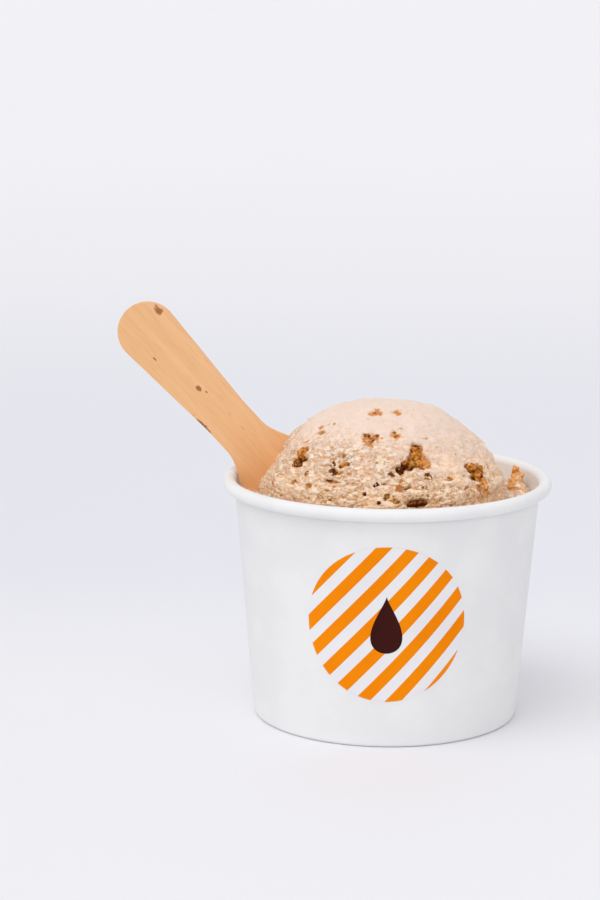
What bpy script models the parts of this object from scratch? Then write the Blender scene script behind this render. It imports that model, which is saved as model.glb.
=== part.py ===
"""A scoop of caramel gelato in a small paper cup, with a flat birch spoon in it."""

import math
import random

import bmesh
import bpy
from mathutils import Matrix, Vector, noise

MM = 0.001
GAP = 0.3 * MM                    # left between pieces that lie against each other

# Paper cup: a conical wall with a rolled rim, and a base set up inside its hem
CUP_HEIGHT = 55.4 * MM
RIM_RADIUS = 37.5 * MM            # outside of the rolled rim
ROLL_RADIUS = 1.5 * MM            # section of the roll
ROLL_TURN = math.radians(300)     # how far the paper is rolled over
FOOT_RADIUS = 30.2 * MM           # outside of the wall, at the table
PAPER = 0.4 * MM
HEM_HEIGHT = 5.0 * MM             # the wall's lower edge, folded in and up
BASE_TOP = 6.0 * MM
BASE_CORNER = 0.8 * MM
CUP_SIDES = 64

# Round paper label on the front of the wall
LABEL_RADIUS = 17.9 * MM
LABEL_HEIGHT = 28.7 * MM          # its middle, above the table
LABEL_SHIFT = 0.25 * MM           # its middle, to the right of the front
LABEL_PAPER = 0.15 * MM
LABEL_SIDES = 40
LABEL_RINGS = 4

# Flat spoon: measured along its length from the tip of its handle
SPOON_LENGTH = 94.0 * MM
SPOON_THICKNESS = 1.4 * MM
SPOON_TILT = math.radians(47.4)   # down from level, towards the cup's middle
SPOON_TIP = Vector((-59.5, 3.0, 92.5)) * MM   # from the cup's axis, at the table
HANDLE_HALF = 6.85 * MM           # half width at its round end
WAIST_HALF = 5.25 * MM
BLADE_HALF = 9.0 * MM
WAIST_START = 33.0 * MM
SHOULDER_START = 39.5 * MM
SHOULDER_END = 51.0 * MM
ARC_STEP = math.radians(18)

# Gelato: it fills the cup to a ring below the rim, and a scoop stands on it
DOME_WIDTH = 32.4 * MM            # half axes and middle height of the scoop's ellipsoid
DOME_HEIGHT = 36.7 * MM
DOME_MIDDLE = 36.3 * MM
DOME_SHIFT = -1.0 * MM            # the scoop leans this far to the left
DOME_FOOT = 51.0 * MM             # where the scoop leaves the ring
TUCK = 1.6 * MM                   # how far its foot is drawn in
TUCK_HEIGHT = 5.0 * MM
RING_HEIGHT = 49.5 * MM
GELATO_SIDES = 72
DOME_RINGS = 24

# Caramel pieces sunk in the scoop: azimuth from the front towards the right,
# height angle on the ellipsoid, then width, height and depth
CARAMEL_PIECES = {
    "caramel_front": (18, 48, 7.2, 6.2, 4.2),
    "caramel_right": (55, 37.5, 5.2, 6.0, 3.8),
    "caramel_left": (-53, 44, 4.0, 5.2, 3.4),
    "caramel_rim": (16, 30.5, 4.8, 2.0, 2.8),
    "caramel_back_low": (164, 36, 5.6, 4.4, 3.4),
    "caramel_back_high": (-158, 56, 4.8, 4.0, 3.2),
}
SIDE_HEAP = Vector((29.9, 9.5)) * MM   # a knob of gelato against the wall
SIDE_HEAP_RISE = 5.8 * MM
SIDE_HEAP_WIDTH = 3.2 * MM
SIDE_HEAP_POINT = 1.3             # 2 is a round top, 1 a sharp one
SIDE_CARAMEL = (3.2, 3.2, 3.2)
SIDE_SINK = 0.5 * MM              # how far its middle lies under the heap's top
PIECE_SINK = 0.22                 # share of its depth that a piece's middle lies under the surface
CRUMB_SINK = 0.2
PIECE_UNEVEN = 0.42               # share of a piece's size that its sides come and go
PIECE_WAVES = 2.6                 # in the width of a piece
LEFT_RISE = 1.4 * MM              # gelato pushed up against the wall by the spoon
LEFT_WIDTH = math.radians(24)
RING_WAVY = 0.35 * MM
RING_WAVES = 0.22                 # for each mm

# Relief of the scoop, heights in mm and waves for each mm
SWELLS = 0.8
SWELL_WAVES = 0.085
RIDGES = 0.55                     # level ridges that the scoop's edge leaves
RIDGE_WAVES = Vector((0.17, 0.17, 0.62))
GRAINS = 0.3
GRAIN_WAVES = 0.45
RIDGES_FROM, RIDGES_FADE, RIDGES_TO = 52, 62, 69   # heights above the table, in mm
SPOON_DENT = 1.6                  # where the spoon has pressed the scoop in
DENT_MIDDLE = Vector((-27, 0, 59))
DENT_WIDTH = 7

# Crumbs that stand out of the scoop: azimuth, height angle and size in mm
CRUMBS_SHOWN = [
    (-12, 58, 1.8), (-7, 56, 1.8), (10, 59, 1.9), (23, 39, 2.2), (9, 35, 2.4), (14, 37, 1.7),
    (35, 38, 2.4), (2, 33, 2.0), (6, 31, 2.0), (-21, 44, 2.2), (-26, 41, 2.4), (-23, 31, 2.2),
    (-36, 34, 2.2), (-46, 35, 2.0), (-41, 39, 1.6), (-54, 57, 2.2), (79, 45, 1.8), (72, 39, 2.0),
]
CRUMBS_BEHIND = 9
BEHIND_FROM, BEHIND_TO = 80, 280  # azimuths
CRUMB_SEED = 7

SPOON_REACH = -SPOON_TIP.x - HANDLE_HALF * (math.cos(SPOON_TILT) - 1)
CUP_AXIS_X = (SPOON_REACH - RIM_RADIUS) / 2   # puts the whole box's middle at x = 0
ROLL_MIDDLE = Vector((RIM_RADIUS - ROLL_RADIUS, 0, CUP_HEIGHT - ROLL_RADIUS))
WALL_SLOPE = (ROLL_MIDDLE.x - ROLL_RADIUS + PAPER - FOOT_RADIUS) / ROLL_MIDDLE.z


def clear_scene():
    for obj in list(bpy.data.objects):
        bpy.data.objects.remove(obj)


def new_collection(name):
    collection = bpy.data.collections.new(name)
    bpy.context.scene.collection.children.link(collection)
    return collection


def material(name, colour, roughness):
    mat = bpy.data.materials.new(name)
    mat.use_nodes = True
    shader = mat.node_tree.nodes["Principled BSDF"]
    shader.inputs["Base Color"].default_value = (*colour, 1)
    shader.inputs["Roughness"].default_value = roughness
    shader.inputs["Metallic"].default_value = 0.0
    return mat


def mesh_object(name, bm, collection, mat=None, smooth=math.radians(35)):
    mesh = bpy.data.meshes.new(name)
    bm.to_mesh(mesh)
    bm.free()
    mesh.shade_smooth()
    mesh.set_sharp_from_angle(angle=smooth)
    if mat:
        mesh.materials.append(mat)
    obj = bpy.data.objects.new(name, mesh)
    collection.objects.link(obj)
    return obj


def apply_modifiers(obj):
    """Makes what the modifiers give the object's own mesh."""
    graph = bpy.context.evaluated_depsgraph_get()
    mesh = bpy.data.meshes.new_from_object(obj.evaluated_get(graph))
    obj.modifiers.clear()
    obj.data = mesh


def hide_cutter(obj):
    obj.hide_render = True
    obj.display_type = "WIRE"


def smoothstep(low, high, value):
    t = min(max((value - low) / (high - low), 0.0), 1.0)
    return t * t * (3 - 2 * t)


def arc(middle, radius, start, end, steps):
    """Points (r, z) along an arc from one angle to another."""
    turns = [start + (end - start) * i / steps for i in range(steps + 1)]
    return [(middle.x + radius * math.cos(t), middle.z + radius * math.sin(t)) for t in turns]


def turned(name, profile, closed, collection, mat):
    """Turns a profile that runs down its outer side about the cup's axis."""
    bm = bmesh.new()
    verts = [bm.verts.new((r, 0, z)) for r, z in profile]
    ends = verts[1:] + verts[:1] if closed else verts[1:]
    for a, b in zip(verts, ends):
        bm.edges.new((a, b))
    obj = mesh_object(name, bm, collection, mat)
    obj.location.x = CUP_AXIS_X
    screw = obj.modifiers.new("Turn", "SCREW")
    screw.steps = CUP_SIDES
    screw.render_steps = CUP_SIDES
    screw.use_merge_vertices = True
    screw.merge_threshold = 0.01 * MM
    return obj


def wall_radius(z):
    """Outside of the cup's wall at a height."""
    return FOOT_RADIUS + WALL_SLOPE * z


def inside_radius(z):
    """Inside of the cup's wall, less the gap that its contents keep."""
    return wall_radius(z) - PAPER - GAP


def cup_wall(collection, mat):
    """One strip of paper: rolled out and down at the rim, folded in at the foot."""
    roll_end = math.pi - ROLL_TURN
    roll_out = arc(ROLL_MIDDLE, ROLL_RADIUS, math.pi, roll_end, 10)
    roll_in = arc(ROLL_MIDDLE, ROLL_RADIUS - PAPER, roll_end, math.pi, 5)
    channel = PAPER + GAP + PAPER + GAP
    fold = PAPER / 2
    hem = [
        (wall_radius(fold), fold),
        (wall_radius(0) - fold, 0),
        (wall_radius(0) - channel - PAPER + fold, 0),
        (wall_radius(fold) - channel - PAPER, fold),
        (wall_radius(HEM_HEIGHT) - channel - PAPER, HEM_HEIGHT),
        (wall_radius(HEM_HEIGHT) - channel, HEM_HEIGHT),
        (wall_radius(PAPER) - channel, PAPER),
        (wall_radius(PAPER) - PAPER, PAPER),
    ]
    turned("cup_wall", roll_out + roll_in + hem, True, collection, mat)


def cup_base(collection, mat):
    """A disc of paper whose edge is turned down between the wall and its hem."""
    corner = Vector((inside_radius(BASE_TOP) - BASE_CORNER, 0, BASE_TOP - BASE_CORNER))
    skirt_low = PAPER + GAP
    profile = [(0, BASE_TOP)]
    profile += arc(corner, BASE_CORNER, math.pi / 2, 0, 3)
    profile += [
        (inside_radius(skirt_low), skirt_low),
        (inside_radius(skirt_low) - PAPER, skirt_low),
        (corner.x + BASE_CORNER - PAPER - GAP / 4, corner.z - GAP / 4),
        (corner.x - GAP, BASE_TOP - PAPER),
        (0, BASE_TOP - PAPER),
    ]
    turned("cup_base", profile, False, collection, mat)


def wrap_on_wall(bm, height, stand_off):
    """Rolls a flat disc in the XY plane on to the front of the conical wall, unstretched."""
    lean = math.atan(WALL_SLOPE)
    to_apex = wall_radius(height) / math.sin(lean)
    for vert in bm.verts:
        across = vert.co.x + LABEL_SHIFT
        slant = math.hypot(across, to_apex + vert.co.y)
        turn = math.atan2(across, to_apex + vert.co.y) / math.sin(lean)
        z = height + (slant - to_apex) * math.cos(lean)
        radius = wall_radius(z) + stand_off + vert.co.z
        vert.co = (radius * math.sin(turn), -radius * math.cos(turn), z)


def label(collection, mat):
    """The label is spun flat, thickened and then bent round the wall."""
    bm = bmesh.new()
    spokes = [bm.verts.new((LABEL_RADIUS * i / LABEL_RINGS, 0, 0)) for i in range(LABEL_RINGS + 1)]
    edges = [bm.edges.new(pair) for pair in zip(spokes, spokes[1:])]
    bmesh.ops.spin(bm, geom=spokes + edges, axis=(0, 0, 1), cent=(0, 0, 0), angle=2 * math.pi,
                   steps=LABEL_SIDES, use_merge=True)
    bmesh.ops.remove_doubles(bm, verts=bm.verts, dist=0.01 * MM)
    bmesh.ops.recalc_face_normals(bm, faces=bm.faces)
    bmesh.ops.solidify(bm, geom=bm.faces, thickness=LABEL_PAPER)
    low = min(vert.co.z for vert in bm.verts)
    for vert in bm.verts:
        vert.co.z -= low
    wrap_on_wall(bm, LABEL_HEIGHT, GAP / 2)
    bmesh.ops.recalc_face_normals(bm, faces=bm.faces)
    obj = mesh_object("label", bm, collection, mat)
    obj.location.x = CUP_AXIS_X


def spoon_half_width(s):
    """Half the spoon's width at a distance from the tip, between its round ends."""
    taper = (HANDLE_HALF - WAIST_HALF) * min((s - HANDLE_HALF) / (WAIST_START - HANDLE_HALF), 1)
    shoulder = smoothstep(SHOULDER_START, SHOULDER_END, s)
    return HANDLE_HALF - taper + (BLADE_HALF - WAIST_HALF) * shoulder


def spoon_outline(margin):
    """Half of the outline from tip to blade end, grown by a margin."""
    handle = HANDLE_HALF + margin
    blade = BLADE_HALF + margin
    blade_middle = SPOON_LENGTH - BLADE_HALF
    arc_steps = round(math.pi / 2 / ARC_STEP)
    turns = [math.pi / 2 * i / arc_steps for i in range(arc_steps + 1)]
    tip = [(HANDLE_HALF - handle * math.cos(t), handle * math.sin(t)) for t in turns]
    sides = [20 * MM, WAIST_START, 37 * MM, SHOULDER_START]
    sides += [SHOULDER_START + (SHOULDER_END - SHOULDER_START) * i / 5 for i in range(1, 6)]
    side = [(s, spoon_half_width(s) + margin) for s in sides]
    end = [(blade_middle + blade * math.sin(t), blade * math.cos(t)) for t in turns]
    return tip + side + end


def spoon_plate(name, margin, collection, mat=None):
    """The flat plate of the spoon, or the slot it leaves where a margin is given."""
    half = spoon_outline(margin)
    outline = half + [(x, -y) for x, y in reversed(half[1:-1])]
    curve = bpy.data.curves.new(name, "CURVE")
    curve.dimensions = "2D"
    curve.fill_mode = "BOTH"
    curve.extrude = SPOON_THICKNESS / 2 + margin
    spline = curve.splines.new("POLY")
    spline.points.add(len(outline) - 1)
    for point, (x, y) in zip(spline.points, outline):
        point.co = (x, y, 0, 1)
    spline.use_cyclic_u = True
    source = bpy.data.objects.new(name + "_outline", curve)
    collection.objects.link(source)
    graph = bpy.context.evaluated_depsgraph_get()
    bm = bmesh.new()
    flat = bpy.data.meshes.new_from_object(source.evaluated_get(graph))
    bm.from_mesh(flat)
    bpy.data.objects.remove(source)
    bmesh.ops.remove_doubles(bm, verts=bm.verts, dist=0.01 * MM)
    bmesh.ops.recalc_face_normals(bm, faces=bm.faces)
    obj = mesh_object(name, bm, collection, mat)
    obj.location = SPOON_TIP + Vector((CUP_AXIS_X, 0, 0))
    obj.rotation_euler = (math.pi / 2, SPOON_TILT, 0)
    return obj


def dome_point(azimuth, angle):
    """A point of the smooth scoop and the way out of it there, from the cup's axis."""
    way = Vector((math.sin(azimuth), -math.cos(azimuth), 0))
    z = DOME_MIDDLE + DOME_HEIGHT * math.sin(angle)
    tuck = TUCK * (1 - smoothstep(DOME_FOOT, DOME_FOOT + TUCK_HEIGHT, z))
    point = way * (DOME_WIDTH * math.cos(angle) - tuck) + Vector((DOME_SHIFT, 0, z))
    outward = way * math.cos(angle) / DOME_WIDTH + Vector((0, 0, math.sin(angle) / DOME_HEIGHT))
    return point, outward.normalized()


def scoop_relief(point):
    """How far the scoop stands proud: slow swells, level ridges, and a dent by the spoon."""
    p = point / MM
    swells = SWELLS * noise.noise(p * SWELL_WAVES)
    ridged = smoothstep(RIDGES_FROM - 2, RIDGES_FROM + 2, p.z)
    ridged *= 1 - 0.75 * smoothstep(RIDGES_FADE, RIDGES_TO, p.z)
    ridges = RIDGES * ridged * noise.noise(p * RIDGE_WAVES)
    grains = GRAINS * noise.noise(p * GRAIN_WAVES)
    dent = SPOON_DENT * math.exp(-((p - DENT_MIDDLE).length / DENT_WIDTH) ** 2)
    return (swells + ridges + grains - dent) * MM


def ring_rise(point):
    """How far the ring of gelato between scoop and wall is heaped up."""
    from_heap = (point.xy - SIDE_HEAP).length / SIDE_HEAP_WIDTH
    heap = SIDE_HEAP_RISE * math.exp(-from_heap ** SIDE_HEAP_POINT)
    turn = math.atan2(point.y, -point.x) / LEFT_WIDTH
    pushed = LEFT_RISE * math.exp(-turn ** 2)
    wavy = RING_WAVY * noise.noise(point / MM * RING_WAVES)
    return heap + pushed + wavy


def gelato_meridian():
    """The body's outline at one azimuth, from the base's middle to the ring."""
    top = RING_HEIGHT + 0.5 * MM
    low = BASE_TOP + GAP
    return [
        (0, low),
        (inside_radius(low) - BASE_CORNER, low),
        (inside_radius(low), low + BASE_CORNER),
        (inside_radius(top), top),
        (inside_radius(top) - 1.2 * MM, RING_HEIGHT),
        (inside_radius(top) - 3.0 * MM, RING_HEIGHT),
        (inside_radius(top) - 4.4 * MM, RING_HEIGHT + 0.4 * MM),
    ]


def gelato_body(collection, mat):
    """The filling and the scoop on it, turned and then given its uneven surface."""
    low_angle = math.asin((DOME_FOOT - DOME_MIDDLE) / DOME_HEIGHT)
    angles = [low_angle + (math.pi / 2 - low_angle) * i / DOME_RINGS for i in range(DOME_RINGS + 1)]
    meridian = gelato_meridian()
    filling = len(meridian)
    bm = bmesh.new()
    profile = [bm.verts.new((0, -r, z)) for r, z in meridian]
    for angle in angles:
        profile.append(bm.verts.new(dome_point(0, angle)[0] - Vector((DOME_SHIFT, 0, 0))))
    edges = [bm.edges.new(pair) for pair in zip(profile, profile[1:])]
    bmesh.ops.spin(bm, geom=profile + edges, axis=(0, 0, 1), cent=(0, 0, 0), angle=2 * math.pi,
                   steps=GELATO_SIDES, use_merge=True)
    bmesh.ops.remove_doubles(bm, verts=bm.verts, dist=0.01 * MM)
    bmesh.ops.recalc_face_normals(bm, faces=bm.faces)
    ring_inner = meridian[filling - 1][0]
    for vert in bm.verts:
        roughen(vert, ring_inner)
    obj = mesh_object("gelato", bm, collection, mat)
    obj.location.x = CUP_AXIS_X
    return obj


def roughen(vert, ring_inner):
    """Heaps up the ring, shifts the scoop to its place and makes it uneven."""
    radius = vert.co.xy.length
    if vert.co.z >= DOME_FOOT - GAP:
        azimuth = math.atan2(vert.co.x, -vert.co.y)
        angle = math.asin(min((vert.co.z - DOME_MIDDLE) / DOME_HEIGHT, 1))
        point, outward = dome_point(azimuth, angle)
        vert.co = point + outward * scoop_relief(point)
    elif vert.co.z > RING_HEIGHT - GAP:
        share = smoothstep(ring_inner - 1 * MM, ring_inner + 2 * MM, radius)
        vert.co.z += ring_rise(vert.co) * share


def lump(name, size, seed, faceting, collection, mat=None):
    """An uneven lump of caramel with three axes, its depth along Z."""
    bm = bmesh.new()
    bmesh.ops.create_icosphere(bm, subdivisions=faceting, radius=0.5)
    for vert in bm.verts:
        away = 1 + PIECE_UNEVEN * noise.noise(vert.co * PIECE_WAVES + Vector((seed, 3.1 * seed, 0)))
        vert.co = Vector(a * b * MM for a, b in zip(vert.co * away, size))
    return mesh_object(name, bm, collection, mat)


def seat(obj, azimuth, angle, sink):
    """Puts a lump on the scoop, facing out of it, sunk by a share of its depth."""
    point, outward = dome_point(math.radians(azimuth), math.radians(angle))
    place = point + outward * (scoop_relief(point) - sink)
    level = Vector((0, 0, 1)).cross(outward).normalized()
    turn = Matrix((level, outward.cross(level), outward)).transposed().to_4x4()
    obj.matrix_world = Matrix.Translation(place + Vector((CUP_AXIS_X, 0, 0))) @ turn


def caramel_pieces(parts, cutters, mat):
    """The large pieces, and for each the hollow that it sits in."""
    grown = 2 * GAP / MM
    for seed, (name, (azimuth, angle, *size)) in enumerate(CARAMEL_PIECES.items(), 1):
        hollow = [length + grown for length in size]
        sink = size[2] * PIECE_SINK * MM
        seat(lump(name, size, seed, 2, parts, mat), azimuth, angle, sink)
        seat(lump(name + "_hollow", hollow, seed, 2, cutters), azimuth, angle, sink)
    seed = len(CARAMEL_PIECES) + 1
    peak = RING_HEIGHT + SIDE_HEAP_RISE - SIDE_SINK
    place = Vector((CUP_AXIS_X + SIDE_HEAP.x, SIDE_HEAP.y, peak))
    hollow = [length + grown for length in SIDE_CARAMEL]
    lump("caramel_side", SIDE_CARAMEL, seed, 2, parts, mat).location = place
    lump("caramel_side_hollow", hollow, seed, 2, cutters).location = place


def crumbs(collection):
    """Small crumbs: those at the front, and some more round the back."""
    random.seed(CRUMB_SEED)
    places = list(CRUMBS_SHOWN)
    step = (BEHIND_TO - BEHIND_FROM) / CRUMBS_BEHIND
    for i in range(CRUMBS_BEHIND):
        azimuth = BEHIND_FROM + step * (i + random.uniform(0.1, 0.6))
        places.append((azimuth, random.uniform(36, 74), random.uniform(1.6, 2.6)))
    for i, (azimuth, angle, size) in enumerate(places):
        obj = lump(f"crumb_{i}", (size * 1.2, size, size), 20 + i, 1, collection)
        seat(obj, azimuth, angle, CRUMB_SINK * size * MM)


def gelato(parts, cutters, mat):
    """The gelato with its crumbs fused on and every other piece's hollow cut out."""
    body = gelato_body(parts, mat)
    bits = new_collection("crumbs")
    crumbs(bits)
    join = body.modifiers.new("Crumbs", "BOOLEAN")
    join.operation = "UNION"
    join.operand_type = "COLLECTION"
    join.collection = bits
    join.solver = "EXACT"
    cut = body.modifiers.new("Hollows", "BOOLEAN")
    cut.operation = "DIFFERENCE"
    cut.operand_type = "COLLECTION"
    cut.collection = cutters
    cut.solver = "EXACT"
    bpy.context.view_layer.update()
    apply_modifiers(body)
    for bit in list(bits.objects):
        bpy.data.objects.remove(bit)
    bpy.data.collections.remove(bits)


def build():
    clear_scene()
    parts = new_collection("gelato_cup")
    cutters = new_collection("cutters")
    board = material("white_cup_board", (0.80, 0.80, 0.82), 0.5)
    cup_wall(parts, board)
    cup_base(parts, board)
    label(parts, material("orange_label", (0.90, 0.26, 0.01), 0.45))
    spoon_plate("spoon", 0, parts, material("birch", (0.78, 0.48, 0.26), 0.6))
    spoon_plate("spoon_slot", GAP, cutters)
    caramel_pieces(parts, cutters, material("caramel", (0.35, 0.09, 0.01), 0.3))
    gelato(parts, cutters, material("gelato", (0.80, 0.61, 0.48), 0.55))
    for cutter in cutters.objects:
        hide_cutter(cutter)


build()
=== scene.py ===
"""A scoop of caramel gelato in a small paper cup, with a flat birch spoon stuck in it."""

import math
import random

import bmesh
import bpy
from mathutils import Euler, Matrix, Vector, kdtree, noise


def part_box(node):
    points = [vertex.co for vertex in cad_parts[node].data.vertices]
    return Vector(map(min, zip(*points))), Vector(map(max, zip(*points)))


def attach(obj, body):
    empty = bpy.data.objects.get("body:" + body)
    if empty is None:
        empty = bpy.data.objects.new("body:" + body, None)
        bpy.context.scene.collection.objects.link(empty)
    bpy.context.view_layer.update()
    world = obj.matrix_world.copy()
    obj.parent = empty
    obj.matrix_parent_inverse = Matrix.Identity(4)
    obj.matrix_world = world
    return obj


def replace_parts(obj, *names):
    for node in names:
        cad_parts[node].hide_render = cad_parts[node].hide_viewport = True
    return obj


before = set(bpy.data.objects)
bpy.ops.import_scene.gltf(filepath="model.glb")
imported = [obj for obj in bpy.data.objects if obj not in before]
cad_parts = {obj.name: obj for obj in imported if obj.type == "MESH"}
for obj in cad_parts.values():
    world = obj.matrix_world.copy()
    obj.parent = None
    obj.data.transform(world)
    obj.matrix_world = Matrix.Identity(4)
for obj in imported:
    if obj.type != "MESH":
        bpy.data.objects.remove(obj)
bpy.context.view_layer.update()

# Cup wall. A strip of white coated paperboard, wrapped into a cone and glued in a lap down its back.
# The upper edge is curled out and down into a round rim, and the lower edge is folded in
# and up round the base as a hem.
MM = 0.001
PAPER = 0.4 * MM
GAP = 0.3 * MM                    # between the wall, the base's skirt and the hem
ROLL_RADIUS = 1.5 * MM            # section of the rolled rim
ROLL_TURN = math.radians(300)
FOOT_RADIUS = 30.2 * MM
HEM_HEIGHT = 5.0 * MM
WALL_COLUMNS = 192
SEAM_AT = math.radians(158)       # azimuth of the lap's outer cut edge, from the front to the right
SEAM_LAP = 7.0 * MM
SEAM_RAMP = 3.0 * MM              # where one layer comes up over the other's end
SEAM_STEP = PAPER / 2             # on each face of the wall
SEAM_FOOT, SEAM_FULL = 1.0 * MM, 2.5 * MM   # heights between which the lap sets in
CUT_EDGE = 0.04 * MM
SLACK = GAP / 3                   # a point this far off a layer of paper still belongs to it
TOUCHING = 0.001 * MM             # points closer than this are one
EGGSHELL = 0.012 * MM             # depth of the relief in coated paper
wall_low, wall_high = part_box("cup_wall")
AXIS = Vector(((wall_low.x + wall_high.x) / 2, 0, 0))
RIM_RADIUS = (wall_high.x - wall_low.x) / 2
CUP_HEIGHT = wall_high.z
ROLL_MIDDLE = Vector((RIM_RADIUS - ROLL_RADIUS, 0, CUP_HEIGHT - ROLL_RADIUS))
WALL_SLOPE = (ROLL_MIDDLE.x - ROLL_RADIUS + PAPER - FOOT_RADIUS) / ROLL_MIDDLE.z


def smoothstep(low, high, value):
    """Rises softly from 0 at the first value to 1 at the second."""
    t = min(max((value - low) / (high - low), 0.0), 1.0)
    return t * t * (3 - 2 * t)


def arc(middle, radius, start, end, steps):
    """Points (r, z) along an arc from one angle to another."""
    turns = [start + (end - start) * i / steps for i in range(steps + 1)]
    return [(middle.x + radius * math.cos(t), middle.z + radius * math.sin(t)) for t in turns]


def wall_radius(z):
    """Outside of the cup's wall at a height."""
    return FOOT_RADIUS + WALL_SLOPE * z


def azimuth_of(point):
    """From the front towards the right, about the cup's own axis."""
    return math.atan2(point.x, -point.y)


def link_piece(name, bm, *finishes, smooth=35):
    """Makes a bmesh an object with its finishes, and the mesh at its place in the frame."""
    bmesh.ops.translate(bm, verts=bm.verts, vec=AXIS)
    mesh = bpy.data.meshes.new(name)
    bm.to_mesh(mesh)
    bm.free()
    mesh.shade_smooth()
    mesh.set_sharp_from_angle(angle=math.radians(smooth))
    for finish in finishes:
        mesh.materials.append(finish)
    piece = bpy.data.objects.new(name, mesh)
    bpy.context.scene.collection.objects.link(piece)
    return piece


def paint(red, green, blue):
    """A colour as it looks on a screen, 0 to 255, in the linear form that shaders take."""
    shares = [part / 255 for part in (red, green, blue)]
    return (*(s / 12.92 if s <= 0.04045 else ((s + 0.055) / 1.055) ** 2.4 for s in shares), 1.0)


def put(tree, socket, value):
    """Links an output to a socket, or sets the socket's own value."""
    if isinstance(value, bpy.types.NodeSocket):
        tree.links.new(value, socket)
    else:
        socket.default_value = value


def add(tree, kind, values, **settings):
    """A shader node with its settings, and its sockets filled by name or number."""
    node = tree.nodes.new("ShaderNode" + kind)
    for name, setting in settings.items():
        setattr(node, name, setting)
    for name, value in values.items():
        put(tree, node.inputs[name], value)
    return node


def spots(tree, position, scale, detail=2.0, rough=0.5):
    """Soft noise from 0 to 1, with that many waves to a metre."""
    values = {"Vector": position, "Scale": scale, "Detail": detail, "Roughness": rough}
    return add(tree, "TexNoise", values).outputs["Fac"]


def between(tree, value, low, high, to_low=0.0, to_high=1.0, kind="SMOOTHSTEP"):
    """Brings a value from one range to another, and holds it there."""
    values = {"Value": value, "From Min": low, "From Max": high, "To Min": to_low, "To Max": to_high}
    return add(tree, "MapRange", values, interpolation_type=kind).outputs["Result"]


def sums(tree, how, first, second=0.0):
    """One step of arithmetic on two values."""
    return add(tree, "Math", {0: first, 1: second}, operation=how).outputs[0]


def tint(tree, share, first, second, how="MIX"):
    """The first colour, with a share of the second over it."""
    node = tree.nodes.new("ShaderNodeMix")
    node.data_type = "RGBA"
    node.blend_type = how
    for socket, value in ((node.inputs[0], share), (node.inputs[6], first), (node.inputs[7], second)):
        put(tree, socket, value)
    return node.outputs[2]


def new_finish(name):
    """A material, its node tree, its shader, and the place of a point on the piece."""
    finish = bpy.data.materials.new(name)
    finish.use_nodes = True
    tree = finish.node_tree
    return finish, tree, tree.nodes["Principled BSDF"], add(tree, "TexCoord", {}).outputs["Object"]


def stretch(tree, position, scale, shift=(0, 0, 0)):
    """The place of a point on axes that are each scaled and moved."""
    values = {"Vector": position, "Location": shift, "Scale": scale}
    return add(tree, "Mapping", values).outputs["Vector"]


def coat(tree, shader, colour, mottle, rough, gloss=0.5):
    """Sets a shader's colour, its roughness between two values by a soft noise, and its gloss."""
    put(tree, shader.inputs["Base Color"], colour)
    put(tree, shader.inputs["Roughness"], between(tree, mottle, 0.3, 0.7, *rough))
    shader.inputs["Specular IOR Level"].default_value = gloss


def raise_relief(tree, shader, height, depth):
    """Bump of a real depth on a shader."""
    values = {"Height": height, "Distance": depth, "Strength": 1.0}
    put(tree, shader.inputs["Normal"], add(tree, "Bump", values).outputs["Normal"])


def make_paper_grain():
    """Clouding and fibres of coated paper, shared by the cup's board and the label."""
    group = bpy.data.node_groups.new("paper_grain", "ShaderNodeTree")
    group.interface.new_socket("Position", in_out="INPUT", socket_type="NodeSocketVector")
    group.interface.new_socket("Fibres", in_out="INPUT", socket_type="NodeSocketFloat")
    for name in ("Cloud", "Fibre"):
        group.interface.new_socket(name, in_out="OUTPUT", socket_type="NodeSocketFloat")
    inside = group.nodes.new("NodeGroupInput")
    outside = group.nodes.new("NodeGroupOutput")
    cloud = spots(group, inside.outputs["Position"], 90.0, 3.0)
    fibre = spots(group, inside.outputs["Position"], inside.outputs["Fibres"], 3.0, 0.6)
    group.links.new(cloud, outside.inputs["Cloud"])
    group.links.new(fibre, outside.inputs["Fibre"])
    return group


paper_grain = make_paper_grain()


def paper_finish(name, pale, deep, rough, fibres, gloss):
    """Coated paper between two close colours, with a faint eggshell in its gloss."""
    finish, tree, shader, position = new_finish(name)
    grain = tree.nodes.new("ShaderNodeGroup")
    grain.node_tree = paper_grain
    put(tree, grain.inputs["Position"], position)
    put(tree, grain.inputs["Fibres"], fibres)
    cloud = between(tree, grain.outputs["Cloud"], 0.35, 0.65)
    fibre = grain.outputs["Fibre"]
    coat(tree, shader, tint(tree, cloud, pale, deep), fibre, (rough - 0.05, rough + 0.06), gloss)
    raise_relief(tree, shader, fibre, EGGSHELL)
    return finish


def wall_profile():
    """The paper's section, closed: out over the rim, back inside the roll, down and up again."""
    roll_end = math.pi - ROLL_TURN
    roll = arc(ROLL_MIDDLE, ROLL_RADIUS, math.pi, roll_end, 40)
    roll += arc(ROLL_MIDDLE, ROLL_RADIUS - PAPER, roll_end, math.pi, 30)
    channel = PAPER + GAP + PAPER + GAP
    fold_radius = (channel + PAPER) / 2
    fold = Vector((wall_radius(fold_radius) - fold_radius, 0, fold_radius))
    steps = 12
    levels = [fold.z + (ROLL_MIDDLE.z - fold.z) * i / steps for i in range(1, steps)]
    outside = [(wall_radius(z), z) for z in reversed(levels)]
    inside = [(wall_radius(z) - PAPER, z) for z in levels]
    hem_foot = arc(fold, fold_radius, 0, -math.pi, 14)
    hem_lean = WALL_SLOPE * (HEM_HEIGHT - fold.z)
    hem_edge = [(fold.x - fold_radius + hem_lean, HEM_HEIGHT)]
    hem_edge += [(fold.x - fold_radius + PAPER + hem_lean, HEM_HEIGHT)]
    hem_inside = arc(fold, fold_radius - PAPER, math.pi, 2 * math.pi, 8)
    return roll + outside + hem_foot + hem_edge + hem_inside + inside


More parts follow.
